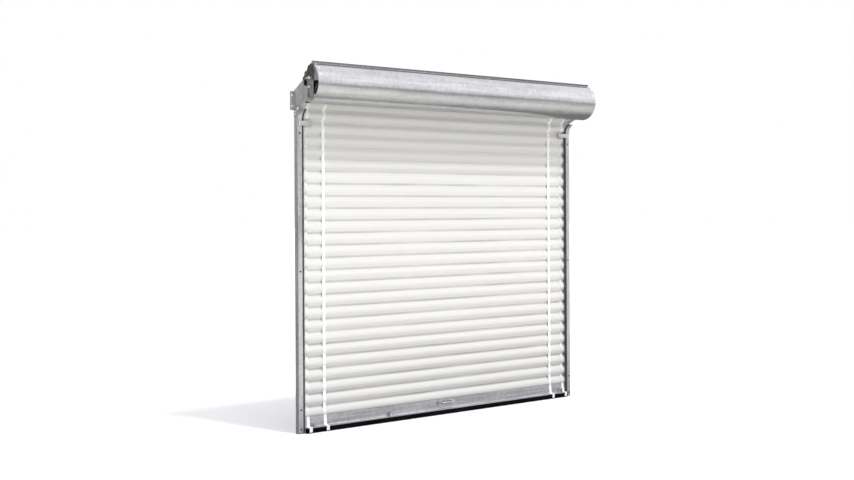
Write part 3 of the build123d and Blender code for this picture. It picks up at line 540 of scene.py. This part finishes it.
def on_head(run, offset):
    """Sheet above the guides: it leans to the drum, then passes over it."""
    along, high = sheet_point(run, offset)
    past = along - head_start
    if past <= lean_length:
        y = groove_y - past * sin(lean) - high * cos(lean)
        return y, bend_z + past * cos(lean) - high * sin(lean)
    turn = lean + (past - lean_length) / head_mean_radius
    reach = head_groove_radius - high
    return axle_y + reach * cos(turn), axle_z + reach * sin(turn)


def on_wrap(run, offset):
    """First turn of sheet, closed on itself round the drum wheels."""
    along, high = sheet_point(run, offset)
    turn = 2 * pi * along / (wrap_corrugations * pitch)
    reach = wrap_groove_radius - high
    return axle_y + reach * cos(turn), axle_z + reach * sin(turn)


def flat(x, run):
    """No lift."""
    return 0.0


curtain_white = material("curtain_white", (0.752, 0.750, 0.736), roughness=0.4)
# Painted light and shade: the base colour goes lighter or darker with the sheet's slope and height, and
# is painted dark in patches along its grooves.
painted_light_here = add_node(curtain_white, "Attribute", attribute_name="painted_light").outputs["Fac"]
shaded_white = ramp(curtain_white, painted_light_here, [(0.0, (0.66, 0.657, 0.64)), (0.5, (0.752, 0.749, 0.732)),
                                         (1.0, (0.96, 0.958, 0.945))])
painted_shade_here = add_node(curtain_white, "Attribute", attribute_name="painted_shade").outputs["Fac"]
groove_shade_patches = noise(curtain_white, 7.0, (0.25, 1.0, 1.6), 5.0)
groove_shade = add_node(curtain_white, "Math", {0: painted_shade_here, 1: groove_shade_patches}, operation="MULTIPLY").outputs["Value"]
feed(curtain_white, "Base Color", add_node(curtain_white, "MixRGB", {
    "Fac": groove_shade, "Color1": shaded_white, "Color2": (0.20, 0.19, 0.175, 1.0),
}).outputs["Color"])
feed(curtain_white, "Roughness", between(curtain_white, noise(curtain_white, 30.0), 0.3, 0.46))
bump(curtain_white, noise(curtain_white, 700.0), 0.12, 0.0002)
# Slate backing coat, part real coat and part painted shade: dark enough to stand for the shade on the
# drum inside the hood.
backer_and_painted_shade = material("backer_and_painted_shade", (0.17, 0.18, 0.21), roughness=0.5)
mottled(backer_and_painted_shade, 7.0, (0.3, (0.14, 0.15, 0.18)), (0.7, (0.20, 0.21, 0.24)), (0.25, 1.0, 1.6), 5.0)

rows_per_pitch = 28
sheet_columns = 81
xs = np.linspace(foot_low.x, foot_high.x, sheet_columns)
no_joint = -1.0
for number in range(1, 5):
    name = f"curtain_sheet_{number}"
    low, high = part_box(name)
    start = low.z - lowest_groove_z
    end = head_start if number == 4 else high.z - lowest_groove_z + lap_under
    count = round((end - start) / pitch * rows_per_pitch)
    joint = start if number > 1 else no_joint
    runs = np.linspace(start, end, count)
    sheet = strip(name + "_skin", on_straight, runs, -half_sheet, half_sheet, xs,
                  lambda x, run: lapped(x, run, joint), curtain_white, inner_paint=backer_and_painted_shade)
    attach(sheet, "curtain")
    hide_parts(name)
    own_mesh(sheet)

head_runs = np.linspace(head_start, head_end, round((head_end - head_start) / pitch * rows_per_pitch))
head_skin = strip("curtain_head_skin", on_head, head_runs, -half_sheet, half_sheet, xs, flat,
                  curtain_white, inner_paint=backer_and_painted_shade)
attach(head_skin, "frame")
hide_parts("curtain_head_sheet")
wrap_rows = wrap_corrugations * rows_per_pitch
wrap_xs = xs[::4]
wrap_runs = np.linspace(0.0, wrap_corrugations * pitch, wrap_rows, endpoint=False)
wrap_skin = strip("drum_skin", on_wrap, wrap_runs, -half_sheet, half_sheet, wrap_xs, flat,
                  backer_and_painted_shade, closed=True)
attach(wrap_skin, "drum")
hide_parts("drum_sheet")

# Wear tapes: white woven tape over the crests, down the bar, over its flange and in front of the
# seal, to keep the rolled sheets from rubbing. The two at the edges are greyed and pressed close to
# the sheet by the guides.
tape_white = material("tape_white", (0.93, 0.93, 0.93), roughness=0.85, Sheen_Weight=0.3)
warp, weft = (add_node(tape_white, "TexWave", {"Vector": stretched(tape_white), "Scale": 180.0},
                       bands_direction=way).outputs["Fac"] for way in ("X", "Z"))
weave = add_node(tape_white, "Math", {0: warp, 1: weft}, operation="MULTIPLY").outputs["Value"]
mottled(tape_white, 9.0, (0.25, (0.93, 0.93, 0.92)), (0.7, (0.98, 0.98, 0.98)))
bump(tape_white, weave, 0.35, 0.0005)
tape_edge = material("tape_edge", (0.76, 0.76, 0.75), roughness=0.7)
mottled(tape_edge, 9.0, (0.25, (0.73, 0.73, 0.72)), (0.7, (0.78, 0.78, 0.77)))
tape_gap = 0.0001
tape_sag = 0.006
tape_softness = 0.0015
tape_lap = 0.004
tape_columns = 7
inner_tape_end = 0.0003
edge_tape_end = 0.003
tape_inner = half_sheet + tape_gap
joints = [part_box(f"curtain_sheet_{above}")[0].z - lowest_groove_z for above in (2, 3, 4)]


def on_tape(run, offset):
    """Tape drawn over the crests, which sags a little way into the grooves."""
    along, high = sheet_point(run, offset)
    slack = high - (corrugation - tape_sag + offset)
    high += (hypot(slack, tape_softness) - slack) / 2
    return groove_y - high, lowest_groove_z + along


for number in range(1, 5):
    name = f"wear_tape_{number}"
    low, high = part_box(name)
    start = low.z - lowest_groove_z
    tape_outer = foot_low.y - low.y + half_sheet
    if number in (1, 4):
        place, paint, end = on_straight, tape_edge, head_start - edge_tape_end
    else:
        place, paint, end = on_tape, tape_white, head_start - inner_tape_end
    runs = np.linspace(start, end, round((end - start) / pitch * rows_per_pitch))
    tape = strip(name + "_woven", place, runs, tape_inner, tape_outer,
                 np.linspace(low.x, high.x, tape_columns),
                 lambda x, run: max(lapped(x, run, joint, tape_lap) for joint in joints), paint)
    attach(tape, "curtain")
    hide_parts(name)
    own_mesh(tape)
paint_nodes(tape_white, "wear_tape_heads", "wear_tape_tails")

# Bottom bar and angle: satin galvanised steel with streaks along its length. The bar is folded round
# the foot of the lowest sheet, and the angle is riveted to its face and carries the seal.
bar_zinc = galvanised("bar_zinc", (0.37, 0.375, 0.39), (0.61, 0.615, 0.63), (0.36, 0.52),
                      streak=(0.05, 1.0, 1.0))
paint_nodes(bar_zinc, "bottom_bar", "bottom_angle", "bar_rivets", "handle_rivets")

# Stop lugs, lift handle and hand tab: small galvanised pieces on the bottom angle, a little lighter
# than it is. The lugs meet the head stops, and the handle is a round bow between two riveted pads.
lug_zinc = galvanised("lug_zinc", (0.40, 0.40, 0.41), (0.66, 0.66, 0.67), (0.38, 0.5))
paint_nodes(lug_zinc, "stop_lug_left", "stop_lug_right", "lift_handle", "hand_tab")

# Bottom seal: a block of matt black rubber along the underside of the angle, which the shut door
# presses on the floor.
rubber = material("rubber", (0.004, 0.004, 0.004), roughness=0.8, Specular_IOR_Level=0.04)
mottled(rubber, 12.0, (0.35, (0.002, 0.002, 0.002)), (0.8, (0.010, 0.010, 0.010)), (0.3, 1.0, 1.0))
bump(rubber, noise(rubber, 600.0), 0.3, 0.0003)
paint_nodes(rubber, "bottom_seal")

# End plates: dark primed plate with a slot, and a flange bent round its front that the hood is
# screwed down on. Toward the front the plate turns lighter.
lighter_from = -0.072
lighter_full = -0.105
plate_dark = material("plate_dark", (0.05, 0.05, 0.042), metallic=0.5, roughness=0.5)
primed = ramp(plate_dark, noise(plate_dark, 16.0, detail=6.0),
              [(0.35, (0.045, 0.046, 0.04)), (0.6, (0.11, 0.11, 0.095)), (0.8, (0.3, 0.3, 0.28))])
plate_place = add_node(plate_dark, "TexCoord").outputs["Object"]
plate_y = add_node(plate_dark, "SeparateXYZ", {"Vector": plate_place}).outputs["Y"]
lighter_front = add_node(plate_dark, "MapRange", {
    "Value": plate_y, "From Min": lighter_from, "From Max": lighter_full,
}).outputs["Result"]
feed(plate_dark, "Base Color", add_node(plate_dark, "MixRGB", {
    "Fac": lighter_front, "Color1": primed, "Color2": (0.36, 0.37, 0.37, 1.0),
}).outputs["Color"])
feed(plate_dark, "Roughness", between(plate_dark, noise(plate_dark, 50.0), 0.3, 0.6))
paint_nodes(plate_dark, "end_plate_left", "end_plate_right")

# Hood: bright galvanised sheet, rolled half round, with a folded rib along its top edge and a hem
# along its lower one. It is screwed to the end plates, and thin enough to wave between them.
hood_low, hood_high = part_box("hood")
hood_steel = 0.0008
hood_radius = axle_y - hood_low.y
hood_first = radians(21.7)
hood_last = radians(190.8)
rib_height = 0.015
hem_width = 0.009
fold_gap = 0.00045
corner = 0.002
inner_rib_points = 8
fold_points = 9
outer_rib_points = 13
corner_points = 6
arc_points = 150
hem_points = 4
hood_columns = 181


def round_axle(radius, angle, aside=0.0):
    """Point round the axle: angle runs from the top toward the front, aside lies across it."""
    across = (-cos(angle), -sin(angle))
    y = axle_y - radius * sin(angle) + aside * across[0]
    return np.array([y, axle_z + radius * cos(angle) + aside * across[1]])


middle_radius = hood_radius - hood_steel / 2
rib_top = hood_radius + rib_height - hood_steel
profile = [round_axle(radius, hood_first, hood_steel / 2)
           for radius in np.linspace(middle_radius, rib_top, inner_rib_points)]
for turn in np.linspace(0.0, pi, fold_points)[1:]:
    profile.append(round_axle(rib_top + fold_gap * sin(turn), hood_first,
                              hood_steel / 2 + fold_gap * (1 - cos(turn))))
fold_aside = hood_steel / 2 + 2 * fold_gap
rib_rows = [len(profile)]
for radius in np.linspace(rib_top, middle_radius + corner, outer_rib_points)[1:]:
    profile.append(round_axle(radius, hood_first, fold_aside))
rib_rows.append(len(profile))
corner_angle = hood_first + (fold_aside + corner) / middle_radius
hem_angle = hood_last - corner / middle_radius
for turn in np.linspace(-pi / 2, 0.0, corner_points)[1:]:
    profile.append(round_axle(middle_radius + corner * (1 - cos(turn)), corner_angle, corner * sin(turn)))
arc_start = len(profile)
for angle in np.linspace(corner_angle, hem_angle, arc_points)[1:]:
    profile.append(round_axle(middle_radius, angle))
arc_end = len(profile)
for turn in np.linspace(0.0, pi / 2, corner_points)[1:]:
    profile.append(round_axle(middle_radius - corner * (1 - cos(turn)), hem_angle, corner * sin(turn)))
for radius in np.linspace(middle_radius - corner, middle_radius - hem_width, hem_points)[1:]:
    profile.append(round_axle(radius, hem_angle, corner))
profile = np.array(profile)

along = np.gradient(profile, axis=0)
along /= np.linalg.norm(along, axis=1)[:, None]
outward = np.stack([along[:, 1], -along[:, 0]], axis=1)
hood_xs = np.linspace(hood_low.x, hood_high.x, hood_columns)
dents = np.random.default_rng(5)
dent_count = 9
dent_lengths = dents.uniform(0.12, 0.9, dent_count)
dent_angles = dents.uniform(0.6, 3.0, dent_count)
dent_phases = dents.uniform(0.0, 2 * pi, dent_count)
dent_depth = 0.00016
held_width = 0.06
held_fade = 0.15
sway = np.zeros((len(profile), len(hood_xs)))
for row in range(arc_start, arc_end):
    share = (row - arc_start) / (arc_end - arc_start)
    for column, x in enumerate(hood_xs):
        hold = min(1.0, max(0.0, (hood_high.x - abs(x) - held_width) / held_fade)) * sin(pi * share)
        sway[row, column] = dent_depth * hold * sum(
            sin(2 * pi * x / length + angle * pi * share + phase)
            for length, angle, phase in zip(dent_lengths, dent_angles, dent_phases))
hood_grids = []
for half in (hood_steel / 2, -hood_steel / 2):
    yz = profile[:, None, :] + outward[:, None, :] * (half + sway)[:, :, None]
    x_grid = np.broadcast_to(hood_xs[None, :, None], (len(profile), len(hood_xs), 1))
    hood_grids.append(np.concatenate([x_grid, yz], axis=2))
hood_zinc = galvanised("hood_zinc", (0.44, 0.44, 0.455), (0.59, 0.59, 0.60), (0.18, 0.28),
                       spangle=45.0, streak=(0.06, 1.0, 1.0), shade_color=(0.10, 0.10, 0.11))
# Painted shade on the hood: the fold and rib along its top, a band just below them and the hem are
# darkened.
fold_shade = 0.95
rib_shade = (0.9, 0.55)
band_shade = (0.25, 0.5, 0.6, 0.6, 0.5, 0.25)
band_start = arc_start + 5
hem_shade = 0.5
shaded_rows = np.zeros(len(profile))
shaded_rows[:rib_rows[0]] = fold_shade
shaded_rows[rib_rows[0]:rib_rows[1]] = np.linspace(*rib_shade, rib_rows[1] - rib_rows[0])
shaded_rows[band_start:band_start + len(band_shade)] = band_shade
shaded_rows[arc_end:] = hem_shade
# Painted shade: the inside of the hood is painted near black, standing for the shade within it.
hood_inside_painted_shade = galvanised("hood_inside_painted_shade", (0.012, 0.013, 0.018), (0.05, 0.052, 0.065), (0.4, 0.6))
hood_skin = shell("hood_skin", hood_grids[0], hood_grids[1], hood_zinc,
                  marks={"painted_shade": shaded_rows}, inner_paint=hood_inside_painted_shade)
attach(hood_skin, "frame")
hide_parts("hood")

bpy.context.view_layer.update()
